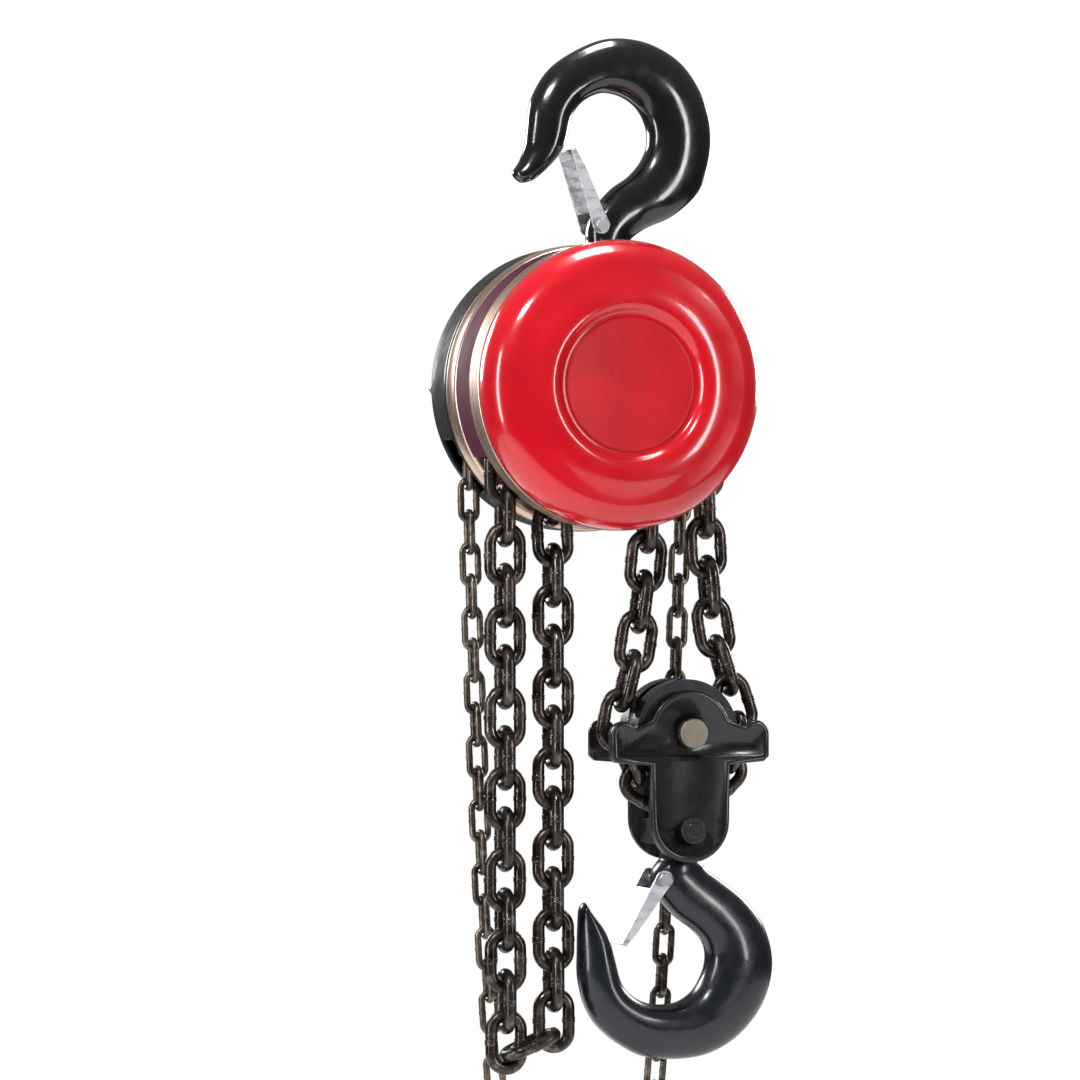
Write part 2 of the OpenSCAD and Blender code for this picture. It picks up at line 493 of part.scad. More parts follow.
// Hook block
module block_outline() difference() {
    union() {
        translate(idler) circle(r = 31.5, $fn = 96);
        translate([block_x - 30.5, -cross_drop + 6]) square([61, cross_drop - 6 - idler_drop]);
        translate([block_x, -cross_drop + 6]) circle(r = 30.5, $fn = 96);
        translate([block_x - 62, -idler_drop - 21]) square([124, 20]);
        for (s = [-1, 1]) translate([block_x + s * 52, -idler_drop - 1]) circle(r = 10, $fn = 48);
    }
    translate(idler) circle(r = 9 + 0.02, $fn = 64);
    translate([block_x, -cross_drop]) circle(r = 6 + run, $fn = 64);
}
module block_front_half() color([0.05, 0.05, 0.055]) body_frame()
    along_y(-block_gap - block_t) linear_extrude(block_t) block_outline();
module block_rear_half() color([0.05, 0.05, 0.055]) body_frame()
    along_y(block_gap) linear_extrude(block_t) block_outline();
module idler_axle() color([0.6, 0.56, 0.48]) body_frame() {
    rod(idler[0], idler[1], -block_gap - block_t - 0.5, block_gap + block_t + 9, 9);
    rod(idler[0], idler[1], -block_gap - block_t - 8, -block_gap - block_t - 0.1, 11);
}
module idler_axle_nut() color([0.5, 0.5, 0.5]) body_frame()
    hex_nut(idler[0], idler[1], block_gap + block_t + 0.1, block_gap + block_t + 8, 14, 9.02);
module trunnion_caps() color([0.1, 0.1, 0.1]) body_frame() for (s = [0, 1]) mirror([0, s, 0]) {
    rod(block_x, -cross_drop, block_gap + block_t + 0.1, block_gap + block_t + 7, 10);
    rod(block_x, -cross_drop, block_gap + block_t + 7, block_gap + block_t + 8, 6, 6);
}
module idler_sheave() color([0.12, 0.12, 0.12]) body_frame() difference() {
    rod(idler[0], idler[1], -block_gap + 0.4, block_gap - 0.4, 39.6, 96);
    ring(-chain_d / 2 - 0.7, chain_d / 2 + 0.7, 60, 31.2, idler[0], idler[1]);
    rod(idler[0], idler[1], -30, 30, 9 + run);
}
module hook_crosshead() color([0.12, 0.12, 0.12]) body_frame() difference() {
    union() {
        translate([block_x - 24, -block_gap + 0.3, -cross_drop - 10.5]) cube([48, 2 * block_gap - 0.6, 18]);
        rod(block_x, -cross_drop, -block_gap - block_t + 0.2, block_gap + block_t - 0.2, 6);
    }
    translate([block_x, 0, -cross_drop - 20]) cylinder(h = 40, r = 12 + run, $fn = 64);
    translate([block_x, 0, -cross_drop - 2]) cylinder(h = 40, r = 16.5, $fn = 64);
}
module bottom_hook() color([0.06, 0.065, 0.08]) body_frame() {
    difference() {
        forging(low_bowl, 3, true);
        rod(latch_low[0], latch_low[1], -30, 30, 3 + 0.02, 32);
    }
    translate([block_x, 0, -353]) cylinder(h = 12, r = 14, $fn = 64);
    translate([block_x, 0, -342]) cylinder(h = 339.3 - cross_drop, r = 12, $fn = 64);
    translate([block_x, 0, -cross_drop - 3]) cylinder(h = 10, r = 9, $fn = 64);
}
module bottom_hook_nut() color([0.4, 0.4, 0.42]) body_frame()
    translate([block_x, 0, -cross_drop - 1.6]) difference() {
        cylinder(h = 8.4, r = 16, $fn = 64);
        translate([0, 0, -1]) cylinder(h = 12, r = 9.02, $fn = 64);
    }
module bottom_latch_pin() color([0.55, 0.55, 0.57]) body_frame() latch_rivet(latch_low, 16.4);
module bottom_latch_spring() color([0.7, 0.7, 0.72]) body_frame() latch_coils(latch_low, 16.4);
module bottom_hook_latch() color([0.75, 0.77, 0.8]) body_frame() latch(latch_low, -120, 58, 1, 16.4);

// Which sub-part to draw

top_hook();
top_hook_nut();
top_latch_pin();
top_latch_spring();
top_hook_latch();
suspension_yoke();
front_side_plate();
rear_side_plate();
side_guard_left();
side_guard_right();
stay_spacers();
stay_bolts();
chain_anchor_pins();
roller_pins();
guide_roller_left();
guide_roller_right();
chain_stripper();
sheave_bearings();
gear_cover();
gear_cover_screws();
name_disc();
load_sheave();
spline_gear();
disc_gear_right();
disc_gear_left();
pinion_shaft();
brake_hub();
friction_discs();
ratchet_disc();
pawl_upper();
pawl_lower();
pawl_pins();
pawl_springs();
hand_wheel();
shaft_nut();
hand_wheel_cover();
cover_studs();
frame_nuts();
load_chain_on_sheave();
slack_chain_held_end();
slack_chain_left();
slack_chain_right();
load_chain_live_fall();
load_chain_on_idler();
load_chain_dead_fall();
hand_chain_on_wheel();
hand_chain_left();
hand_chain_right();
block_front_half();
block_rear_half();
idler_axle();
idler_axle_nut();
trunnion_caps();
idler_sheave();
hook_crosshead();
bottom_hook();
bottom_hook_nut();
bottom_latch_pin();
bottom_latch_spring();
bottom_hook_latch();
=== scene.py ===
import json
import math

import bmesh
import bpy
import numpy as np
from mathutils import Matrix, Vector


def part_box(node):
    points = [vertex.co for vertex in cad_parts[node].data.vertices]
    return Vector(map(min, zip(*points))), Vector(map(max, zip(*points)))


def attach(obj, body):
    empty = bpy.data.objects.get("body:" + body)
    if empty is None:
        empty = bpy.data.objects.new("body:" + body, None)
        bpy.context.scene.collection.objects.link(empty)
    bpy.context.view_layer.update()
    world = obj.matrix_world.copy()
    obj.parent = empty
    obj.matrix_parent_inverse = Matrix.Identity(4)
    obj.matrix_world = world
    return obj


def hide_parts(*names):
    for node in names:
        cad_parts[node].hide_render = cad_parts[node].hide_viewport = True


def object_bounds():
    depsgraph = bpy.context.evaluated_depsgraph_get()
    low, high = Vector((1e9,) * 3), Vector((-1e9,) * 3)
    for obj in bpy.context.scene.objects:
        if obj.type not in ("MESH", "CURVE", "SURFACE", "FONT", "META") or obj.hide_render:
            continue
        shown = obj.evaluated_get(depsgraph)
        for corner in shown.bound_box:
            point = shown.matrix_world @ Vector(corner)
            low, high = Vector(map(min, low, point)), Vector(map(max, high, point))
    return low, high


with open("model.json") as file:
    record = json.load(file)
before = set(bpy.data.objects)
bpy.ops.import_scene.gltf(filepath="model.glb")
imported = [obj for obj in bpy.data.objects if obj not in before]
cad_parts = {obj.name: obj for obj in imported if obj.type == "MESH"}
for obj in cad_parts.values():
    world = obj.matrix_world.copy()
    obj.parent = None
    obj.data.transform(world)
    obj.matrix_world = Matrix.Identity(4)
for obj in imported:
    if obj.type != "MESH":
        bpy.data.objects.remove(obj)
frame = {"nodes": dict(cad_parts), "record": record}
cad_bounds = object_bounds()
nodes = frame["nodes"]
MM = 0.001
DRUM_STEPS = 192            # facets round the drum's covers and plates
DISC_STEPS = 128
SAME_POINT = 1e-6           # metres; vertices nearer than this are merged


# ---------------------------------------------------------------- places taken from the frame
def middle(node):
    low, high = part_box(node)
    return (low + high) / 2


drum = middle("front_side_plate")
AXIS_X, AXIS_Z = drum.x, drum.z
BODY_R = (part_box("front_side_plate")[1].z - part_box("front_side_plate")[0].z) / 2
COVER_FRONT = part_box("gear_cover")[0].y
FLANGE_FRONT, PLATE_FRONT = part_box("front_side_plate")
PLATE_REAR, FLANGE_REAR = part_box("rear_side_plate")
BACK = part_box("hand_wheel_cover")[1].y
IDLER = middle("idler_sheave")


def at(x, z):
    """Millimetres from the load sheave's axis to the frame's metres."""
    return AXIS_X + x * MM, AXIS_Z + z * MM


# ---------------------------------------------------------------- materials
def shader(name, colour, metallic=0.0, roughness=0.4, coat=0.0, coat_rough=0.1, spec=0.5):
    m = bpy.data.materials.new(name)
    m.use_nodes = True
    b = m.node_tree.nodes["Principled BSDF"]
    b.inputs["Base Color"].default_value = (*colour, 1)
    b.inputs["Metallic"].default_value = metallic
    b.inputs["Roughness"].default_value = roughness
    b.inputs["Coat Weight"].default_value = coat
    b.inputs["Coat Roughness"].default_value = coat_rough
    b.inputs["Specular IOR Level"].default_value = spec
    return m, m.node_tree, b


def add(tree, kind, **values):
    n = tree.nodes.new(kind)
    for key, value in values.items():
        if key in n.inputs:
            n.inputs[key].default_value = value
        else:
            setattr(n, key, value)
    return n


def texture(tree, scale, detail, stretch=(1, 1, 1), rough=0.55):
    """Noise over the object's own space, in metres."""
    place = add(tree, "ShaderNodeTexCoord")
    turn = add(tree, "ShaderNodeMapping")
    turn.inputs["Scale"].default_value = stretch
    noise = add(tree, "ShaderNodeTexNoise", Scale=scale, Detail=detail, Roughness=rough)
    tree.links.new(place.outputs["Object"], turn.inputs["Vector"])
    tree.links.new(turn.outputs["Vector"], noise.inputs["Vector"])
    return noise.outputs["Fac"]


def ramp(tree, source, low, high, a, b):
    """Colours a texture: a at low, b at high."""
    r = add(tree, "ShaderNodeValToRGB")
    r.color_ramp.elements[0].position = low
    r.color_ramp.elements[1].position = high
    r.color_ramp.elements[0].color = (*a, 1)
    r.color_ramp.elements[1].color = (*b, 1)
    tree.links.new(source, r.inputs["Fac"])
    return r.outputs["Color"]


def spread(tree, source, low, high, a, b):
    """Maps a texture from low..high to a..b."""
    m = add(tree, "ShaderNodeMapRange")
    for key, value in (("From Min", low), ("From Max", high), ("To Min", a), ("To Max", b)):
        m.inputs[key].default_value = value
    tree.links.new(source, m.inputs["Value"])
    return m.outputs["Result"]


def mix(tree, factor, a, b):
    m = add(tree, "ShaderNodeMix", data_type="RGBA")
    tree.links.new(factor, m.inputs["Factor"])
    for socket, value in ((m.inputs[6], a), (m.inputs[7], b)):
        if isinstance(value, tuple):
            socket.default_value = (*value, 1)
        else:
            tree.links.new(value, socket)
    return m.outputs[2]


def bump(tree, b, source, depth, strength=0.5):
    n = add(tree, "ShaderNodeBump", Strength=strength, Distance=depth)
    tree.links.new(source, n.inputs["Height"])
    tree.links.new(n.outputs["Normal"], b.inputs["Normal"])


def enamel(name, colour, deep, rough, coat, spec=0.5):
    """Gloss paint over metal: slow drift of colour, orange peel, and patches of dulling dust."""
    peel = 0.04 * MM
    m, t, b = shader(name, colour, roughness=rough, coat=coat, coat_rough=0.06, spec=spec)
    slow = texture(t, 9, 3)
    t.links.new(ramp(t, slow, 0.3, 0.7, deep, colour), b.inputs["Base Color"])
    dust = texture(t, 35, 6)
    t.links.new(spread(t, dust, 0.35, 0.75, rough, rough + 0.12), b.inputs["Roughness"])
    bump(t, b, texture(t, 260, 2), peel, 0.35)
    return m


def pitted(name, colour, deep, rough):
    """Stove paint with a fine orange-peel grain, as on a recessed disc."""
    m, t, b = shader(name, colour, roughness=rough, coat=0.08, coat_rough=0.2, spec=0.3)
    grain = texture(t, 420, 5, rough=0.7)
    t.links.new(ramp(t, texture(t, 30, 5), 0.3, 0.75, deep, colour), b.inputs["Base Color"])
    t.links.new(spread(t, grain, 0.3, 0.7, rough - 0.08, rough + 0.15), b.inputs["Roughness"])
    bump(t, b, grain, 0.3 * MM)
    return m


def steel(name, colour, dark, rough, stretch=(1, 1, 1), scale=120, grain=0.00004, metallic=1.0):
    """Bare or plated steel: a drawn grain, mottled tone and duller patches."""
    m, t, b = shader(name, colour, metallic=metallic, roughness=rough)
    lines = texture(t, scale, 6, stretch, 0.65)
    patch = texture(t, 14, 5)
    t.links.new(mix(t, spread(t, patch, 0.35, 0.7, 0.0, 1.0), dark, colour), b.inputs["Base Color"])
    t.links.new(spread(t, lines, 0.3, 0.7, rough - 0.09, rough + 0.13), b.inputs["Roughness"])
    bump(t, b, lines, grain, 0.4)
    return m


def forged(name, colour, dark, rough, dent, coat):
    """Painted forging: soft hammer marks and scale under the paint."""
    m, t, b = shader(name, colour, roughness=rough, coat=coat, coat_rough=0.08)
    t.links.new(ramp(t, texture(t, 22, 5), 0.3, 0.75, dark, colour), b.inputs["Base Color"])
    t.links.new(spread(t, texture(t, 70, 6), 0.35, 0.7, rough, rough + 0.16), b.inputs["Roughness"])
    marks = add(t, "ShaderNodeMath", operation="ADD")
    t.links.new(texture(t, 38, 3), marks.inputs[0])
    t.links.new(spread(t, texture(t, 300, 4), 0.3, 0.7, 0.0, 0.12), marks.inputs[1])
    bump(t, b, marks.outputs[0], dent, 0.35)
    return m


def chain_steel(name, colour, dark, worn, rough):
    """Dark oiled chain: brown-black film, brighter on the worn bends."""
    m, t, b = shader(name, colour, metallic=0.9, roughness=rough)
    film = mix(t, spread(t, texture(t, 45, 6), 0.35, 0.7, 0.0, 1.0), dark, colour)
    rub = spread(t, texture(t, 160, 5), 0.52, 0.72, 0.0, 0.8)
    t.links.new(mix(t, rub, film, worn), b.inputs["Base Color"])
    oil = texture(t, 90, 5)
    t.links.new(spread(t, oil, 0.3, 0.7, rough - 0.1, rough + 0.16), b.inputs["Roughness"])
    bump(t, b, texture(t, 240, 5), 0.00012, 0.45)
    return m


red = enamel("red_enamel", (0.78, 0.003, 0.014), (0.55, 0.002, 0.01), 0.16, 0.7)
red_disc = pitted("red_disc", (0.7, 0.003, 0.012), (0.52, 0.002, 0.009), 0.34)
black = enamel("black_enamel", (0.01, 0.01, 0.011), (0.005, 0.005, 0.006), 0.2, 0.2, spec=0.3)
hook_black = forged("black_forging", (0.006, 0.006, 0.007), (0.003, 0.003, 0.004),
                    0.12, 0.0005, 0.7)
hook_blue = forged("satin_forging", (0.006, 0.009, 0.016), (0.003, 0.004, 0.008), 0.2, 0.0007, 0.35)
block_black = forged("block_paint", (0.007, 0.008, 0.011), (0.004, 0.004, 0.006), 0.24, 0.0004, 0.3)
maroon = enamel("maroon_band", (0.09, 0.012, 0.03), (0.06, 0.007, 0.02), 0.6, 0.0, spec=0.1)
# The side plates' warm beige tones are a painted reflection of brown surroundings, laid into the
# steel's colour; the bare steel would be grey.
flange = steel("plate_steel_painted_warm_reflection", (0.78, 0.58, 0.46), (0.62, 0.43, 0.33), 0.3, (1, 30, 1), 30)
zinc = steel("zinc_sheet", (0.68, 0.7, 0.72), (0.63, 0.65, 0.67), 0.32, (1, 1, 6), 40, 0.000004)
fixing = steel("plated_fixing", (0.6, 0.6, 0.62), (0.42, 0.42, 0.44), 0.3)
brass_grey = steel("dull_axle", (0.3, 0.26, 0.21), (0.16, 0.14, 0.12), 0.42)
gear_metal = steel("gear_steel", (0.36, 0.36, 0.38), (0.25, 0.25, 0.27), 0.34)
cast = steel("cast_wheel", (0.16, 0.16, 0.17), (0.1, 0.1, 0.11), 0.5,
             scale=260, grain=0.3 * MM, metallic=0.7)
lining = pitted("brake_lining", (0.12, 0.07, 0.04), (0.08, 0.05, 0.03), 0.7)
load_link = chain_steel("load_chain_steel", (0.1, 0.08, 0.07), (0.035, 0.03, 0.028),
                        (0.26, 0.22, 0.19), 0.26)
hand_link = chain_steel("hand_chain_steel", (0.2, 0.165, 0.13), (0.08, 0.066, 0.055),
                        (0.42, 0.36, 0.3), 0.32)
FINISH = {
    "forged_black": hook_black, "block_black": block_black, "cover_black": black, "cover_red": red,
    "band_maroon": maroon, "plate_steel": flange, "zinc_sheet": zinc, "load_chain": load_link,
    "hand_chain": hand_link, "fixings": fixing, "axle_brass_grey": brass_grey,
    "gear_steel": gear_metal, "cast": cast, "friction": lining,
}
slot_of = {s["node"]: s["material_slot"] for s in frame["record"]["subparts"]}
body_of = {n: b for b, names in frame["record"]["behaviour"]["bodies"].items() for n in names}
for name, node in nodes.items():
    node.data.materials.clear()
    node.data.materials.append(FINISH[slot_of[name]])
    for face in node.data.polygons:
        face.material_index = 0


# ---------------------------------------------------------------- mesh helpers
def piece(name, verts, faces, material, node, replace=True):
    """A new piece on the node's body, standing for the node when replace is set."""
    mesh = bpy.data.meshes.new(name)
    mesh.from_pydata([Vector(v) for v in verts], [], faces)
    bm = bmesh.new()
    bm.from_mesh(mesh)
    bmesh.ops.remove_doubles(bm, verts=bm.verts, dist=SAME_POINT)
    bmesh.ops.dissolve_degenerate(bm, dist=SAME_POINT / 10, edges=bm.edges)
    bmesh.ops.recalc_face_normals(bm, faces=bm.faces)
    bm.to_mesh(mesh)
    bm.free()
    for face in mesh.polygons:
        face.use_smooth = True
    mesh.materials.append(material)
    obj = bpy.data.objects.new(name, mesh)
    bpy.context.scene.collection.objects.link(obj)
    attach(obj, body_of[node])
    if replace:
        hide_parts(node)
    return obj


def lathe(profile, steps):
    """Turns a closed profile of (radius, y) in metres about the drum's axis, which runs along Y."""
    verts, faces = [], []
    n = len(profile)
    for i in range(steps):
        t = 2 * math.pi * i / steps
        verts += [(AXIS_X + r * math.cos(t), y, AXIS_Z + r * math.sin(t)) for r, y in profile]
    for i in range(steps):
        for j in range(n):
            a, b = i * n + j, i * n + (j + 1) % n
            c, d = ((i + 1) % steps) * n + (j + 1) % n, ((i + 1) % steps) * n + j
            faces.append((a, b, c, d))
    return verts, faces


def ring_quads(rings, n, base=0):
    """Faces that join each ring of n vertices to the next."""
    return [(base + i * n + j, base + i * n + (j + 1) % n,
             base + (i + 1) * n + (j + 1) % n, base + (i + 1) * n + j)
            for i in range(rings - 1) for j in range(n)]


BOX_FACES = [(0, 1, 3, 2), (4, 6, 7, 5), (0, 4, 5, 1), (2, 3, 7, 6), (0, 2, 6, 4), (1, 5, 7, 3)]


def cut(obj, x0, x1, y0, y1, z0, z1):
    """Cuts a box-shaped notch and leaves the result in the mesh."""
    mesh = bpy.data.meshes.new("cutter")
    corners = [(x, y, z) for x in (x0, x1) for y in (y0, y1) for z in (z0, z1)]
    mesh.from_pydata(corners, [], BOX_FACES)
    cutter = bpy.data.objects.new("cutter", mesh)
    bpy.context.scene.collection.objects.link(cutter)
    m = obj.modifiers.new("notch", "BOOLEAN")
    m.operation = "DIFFERENCE"
    m.object = cutter
    m.solver = "EXACT"
    bpy.context.view_layer.update()
    done = bpy.data.meshes.new_from_object(obj.evaluated_get(bpy.context.evaluated_depsgraph_get()))
    obj.modifiers.remove(m)
    obj.data = done
    bpy.data.objects.remove(cutter)


FLAT, EDGE, SHARP = math.radians(1), math.radians(35), math.radians(50)


def softened(node, width):
    """A copy of the node with its flat facets merged and its edges broken."""
    bm = bmesh.new()
    bm.from_mesh(nodes[node].data)
    bmesh.ops.remove_doubles(bm, verts=bm.verts, dist=2 * SAME_POINT)
    bmesh.ops.dissolve_limit(bm, angle_limit=FLAT, verts=bm.verts, edges=bm.edges)
    mesh = bpy.data.meshes.new(node + "_soft")
    bm.to_mesh(mesh)
    bm.free()
    verts = [v.co.copy() for v in mesh.vertices]
    faces = [tuple(f.vertices) for f in mesh.polygons]
    bpy.data.meshes.remove(mesh)
    obj = piece(node + "_soft", verts, faces, FINISH[slot_of[node]], node)
    m = obj.modifiers.new("edge", "BEVEL")
    m.width = width
    m.segments = 2
    m.limit_method = "ANGLE"
    m.angle_limit = EDGE
    m.harden_normals = False
    obj.data.set_sharp_from_angle(angle=SHARP)


def arc(cx, cy, rx, ry, a0, a1, n):
    """Points on an elliptical arc from a0 to a1 degrees, in n steps."""
    return [(cx + rx * math.cos(math.radians(a0 + (a1 - a0) * i / n)),
             cy + ry * math.sin(math.radians(a0 + (a1 - a0) * i / n))) for i in range(n + 1)]


# ---------------------------------------------------------------- gear cover and its recessed disc
def cover_profile():
    """The pressed cover, from its rim over the shoulder to the recessed middle and back inside."""
    front, rim, radius = -COVER_FRONT / MM, 44.1, BODY_R / MM
    turn_r, turn_y = radius - 23, front - 30
    out = [(radius - 0.8, rim), (radius, rim + 0.8)]
    out += arc(turn_r, turn_y, 23, 25, 0, 80, 12)
    crest = [(80.6, front - 4.2), (76, front - 2.6), (71, front - 1.2), (66.5, front - 0.3),
             (62, front),
             (59.2, front - 0.3), (57, front - 1.3), (55.2, front - 3), (53.9, front - 4.6),
             (52.6, front - 5.6), (50.9, front - 6), (0.0, front - 6)]
    inside = [(0.0, front - 8.8), (50, front - 8.8), (57, front - 5), (63, front - 3),
              (76, front - 5.2)]
    inside += arc(turn_r, turn_y, 20, 22, 80, 0, 10) + [(radius - 3, rim)]
    return [(r * MM, -y * MM) for r, y in out + crest + inside]


verts, faces = lathe(cover_profile(), DRUM_STEPS)
piece("gear_cover_shell", verts, faces, red, "gear_cover")
disc_front, disc_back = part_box("name_disc")
disc_r = (disc_back.z - disc_front.z) / 2
field_r, sunk, edge = disc_r * 0.965, 0.15 * MM, 0.6 * MM
profile = [(0.0, disc_front.y + sunk), (field_r, disc_front.y + sunk),
           (disc_r - edge, disc_front.y), (disc_r, disc_front.y + edge),
           (disc_r, disc_back.y), (0.0, disc_back.y)]
verts, faces = lathe(profile, DISC_STEPS)
piece("recessed_disc", verts, faces, red_disc, "name_disc")


# ---------------------------------------------------------------- side plates' rolled rims
def rim_profile(y_open, y_plate, y_gap):
    """A pressed drum half: plate, rolled corner towards the gap, and a beaded open edge."""
    s = 1 if y_open > y_gap else -1
    bead, wall, corner, bore = 0.7 * MM, 4 * MM, 3.2 * MM, 22.2 * MM
    skin, inside = BODY_R - bead, BODY_R - wall
    pts = [(BODY_R, y_open), (BODY_R, y_open - s * 2.4 * MM), (skin, y_open - s * 3.2 * MM),
           (skin, y_gap + s * corner)]
    pts += [(skin - corner + corner * math.cos(math.radians(a)),
             y_gap + s * (corner - corner * math.sin(math.radians(a)))) for a in (30, 60, 90)]
    return pts + [(bore, y_gap), (bore, y_plate), (inside, y_plate), (inside, y_open)]


for name, node, y_open, y_plate, y_gap in (
        ("front_plate_drum", "front_side_plate",
         FLANGE_FRONT.y, FLANGE_FRONT.y + 19.5 * MM, PLATE_FRONT.y),
        ("rear_plate_drum", "rear_side_plate",
         FLANGE_REAR.y, PLATE_REAR.y + 8 * MM, PLATE_REAR.y)):
    verts, faces = lathe(rim_profile(y_open, y_plate, y_gap), DRUM_STEPS)
    piece(name, verts, faces, flange, node)


# ---------------------------------------------------------------- hand-wheel cover
def back_profile():
    """The cover's rolled edge, rounded back and shallow ring, and back inside."""
    r, y0, y1 = (BODY_R / MM + 0.5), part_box("hand_wheel_cover")[0].y / MM, BACK / MM
    out = [(r - 0.6, y0), (r, y0 + 0.6), (r, y0 + 5), (r - 0.6, y0 + 6)]
    out += arc(r - 13.6, y1 - 13, 13, 13, 0, 90, 10)
    out += [(80, y1), (77.5, y1 - 0.4), (75, y1 - 1.6), (72.5, y1 - 2), (34, y1 - 2),
            (31, y1 - 1.4), (28, y1 - 0.2), (26, y1), (0, y1)]
    inside = [(0, y1 - 2.6), (26, y1 - 2.6), (34, y1 - 4.4), (72, y1 - 4.4)]
    inside += arc(r - 13.1, y1 - 13, 10.5, 10.5, 90, 0, 8) + [(r - 2.6, y0)]
    return [(a * MM, b * MM) for a, b in out + inside]


verts, faces = lathe(back_profile(), DRUM_STEPS)
back_cover = piece("hand_wheel_cover_shell", verts, faces, black, "hand_wheel_cover")
FALL_OFFSET = 85.5 * MM     # each hand-chain fall from the wheel's axis
NOTCH_HALF = 14 * MM
for side in (-1, 1):
    x = AXIS_X + side * FALL_OFFSET
    cut(back_cover, x - NOTCH_HALF, x + NOTCH_HALF, 39 * MM, 67 * MM,
        AXIS_Z - 112 * MM, AXIS_Z - 28 * MM)


# ---------------------------------------------------------------- forged hooks
def spline(a, b, c, d, u):
    """Catmull-Rom between b and c."""
    return b + 0.5 * u * (c - a + u * (2 * a - 5 * b + 4 * c - d + u * (3 * (b - c) + d - a)))


def smooth(stations, k):
    """The stations with k steps from each to the next."""
    rows = [Vector(s) for s in stations]
    n, out = len(rows), []
    for i in range(n - 1):
        near = (rows[max(i - 1, 0)], rows[i], rows[i + 1], rows[min(i + 2, n - 1)])
        out += [[spline(*(q[j] for q in near), u / k) for j in range(5)] for u in range(k)]
    return out + [list(rows[-1])]


AROUND = 36                 # vertices round a forging's section
BETWEEN = 7                 # sections from one station to the next


def forging(name, node, stations, material, shank):
    """Sweeps an egg-shaped section, flattened a little on its sides, then a round shank.

    A station is (inner x, inner z, outer x, outer z, half thickness), a shank row (x, z, radius).
    """
    square, flatter, taper = 0.88, 0.02, 0.15
    verts = []
    rings = smooth(stations, BETWEEN)
    circle = [2 * math.pi * j / AROUND for j in range(AROUND)]
    for x0, z0, x1, z1, half in rings:
        (ax, az), (bx, bz) = at(x0, z0), at(x1, z1)
        for t in circle:
            c, s = math.cos(t), math.sin(t)
            side = math.copysign(abs(s) ** square, s)
            u = c * (1 - flatter * (1 - c * c))
            verts.append(((ax + bx) / 2 + (bx - ax) / 2 * u, half * MM * side * (1 - taper * c),
                          (az + bz) / 2 + (bz - az) / 2 * u))
    for x, z, r in shank:
        px, pz = at(x, z)
        verts += [(px + r * MM * math.cos(t), r * MM * math.sin(t), pz) for t in circle]
    count = len(rings) + len(shank)
    faces = ring_quads(count, AROUND)
    faces.append(tuple(range(AROUND - 1, -1, -1)))
    faces.append(tuple(range((count - 1) * AROUND, count * AROUND)))
    piece(name, verts, faces, material, node)


TOP_BOWL = [
    (-60, 150.6, -62.4, 152.4, 2), (-56.5, 151, -65, 154.4, 6.5), (-50, 153.5, -66.5, 158.5, 9.5),
    (-40, 162, -61.5, 166, 11.5), (-31, 172, -57, 178, 13), (-25.7, 183, -55.5, 191, 14),
    (-21.5, 200, -52, 213, 15), (-14, 210.5, -37, 236.5, 15.5), (-3, 217, -10, 253.5, 16),
    (7, 218.7, 14, 259.7, 16), (20, 215.5, 42, 255.5, 16), (31.5, 207, 68, 239, 16),
    (38, 194, 86, 208, 16), (38.8, 181, 89, 178, 15.5), (34, 168.5, 80, 148.5, 15),
    (24, 157, 60, 129, 14.5), (10, 147, 39.5, 119.5, 14), (-3, 132, 29, 113.2, 14),
    (-8.8, 117.5, 24.6, 108.8, 13.5), (-8.7, 108, 22.6, 104, 13), (-8.2, 103, 22.1, 101, 12.5),
    (-8, 99.5, 22, 99.5, 12),
]
LOW_BOWL = [
    (-10.4, -383.2, -12.2, -384, 2), (-8.6, -385.6, -14, -386.6, 6.5), (-6, -390, -15, -391.5, 9),
    (1.5, -400, -15.6, -404, 12), (7.5, -410, -15.8, -420, 14.5), (11.5, -424, -15.4, -440, 16.5),
    (16.5, -441.9, -9, -463, 17.5), (25, -452.4, 5, -481, 18), (37, -458.7, 30, -497, 18.5),
    (50.9, -460.5, 55, -501.5, 18.5), (64, -458.5, 85.3, -498.5, 18.5),
    (76, -450, 111, -484.5, 18.5), (83.5, -436, 130, -461, 18), (85.3, -424, 137.5, -432, 18),
    (82, -413.5, 131, -404, 17.5), (73.6, -404.7, 115, -383, 17), (61, -395.5, 98, -369.5, 16.5),
    (51, -385, 88, -362.5, 16), (42.5, -373, 84, -359, 15.5), (43, -361, 82, -356.5, 15.5),
    (49.4, -352, 77.4, -352, 14),
]
TOP_SHANK = [(7, 98, 10), (7, 74.5, 10), (7, 74, 9), (7, 61, 9)]
LOW_SHANK = [(63.4, -350.5, 14), (63.4, -341.5, 14), (63.4, -341, 12), (63.4, -331.7, 12),
             (63.4, -331.6, 9), (63.4, -322, 9)]
forging("top_hook_forging", "top_hook", TOP_BOWL, hook_black, TOP_SHANK)
forging("bottom_hook_forging", "bottom_hook", LOW_BOWL, hook_blue, LOW_SHANK)


# ---------------------------------------------------------------- hook block halves
def outline_block():
    """The block's side outline about the idler's axis, walked anticlockwise from the right ear."""
    half, ear, drop = 30.5, 62.0, 66.0
    lobe, lobe_r, crown_r = 52, 10, 31.5
    pts = [(half + 0.5, -24), (ear - 4, -21.8), (ear, -18), (ear, -2)]
    pts += arc(lobe, -1, lobe_r, lobe_r, 0, 150, 8)
    pts += arc(0, 0, crown_r, crown_r, 18, 162, 16)
    pts += arc(-lobe, -1, lobe_r, lobe_r, 30, 180, 8)
    pts += [(-ear, -18), (-ear + 4, -21.8), (-half - 0.5, -24)]
    pts += arc(0, -drop, half, half, 180, 360, 20)
    return [(IDLER.x + x * MM, IDLER.z + z * MM) for x, z in pts]


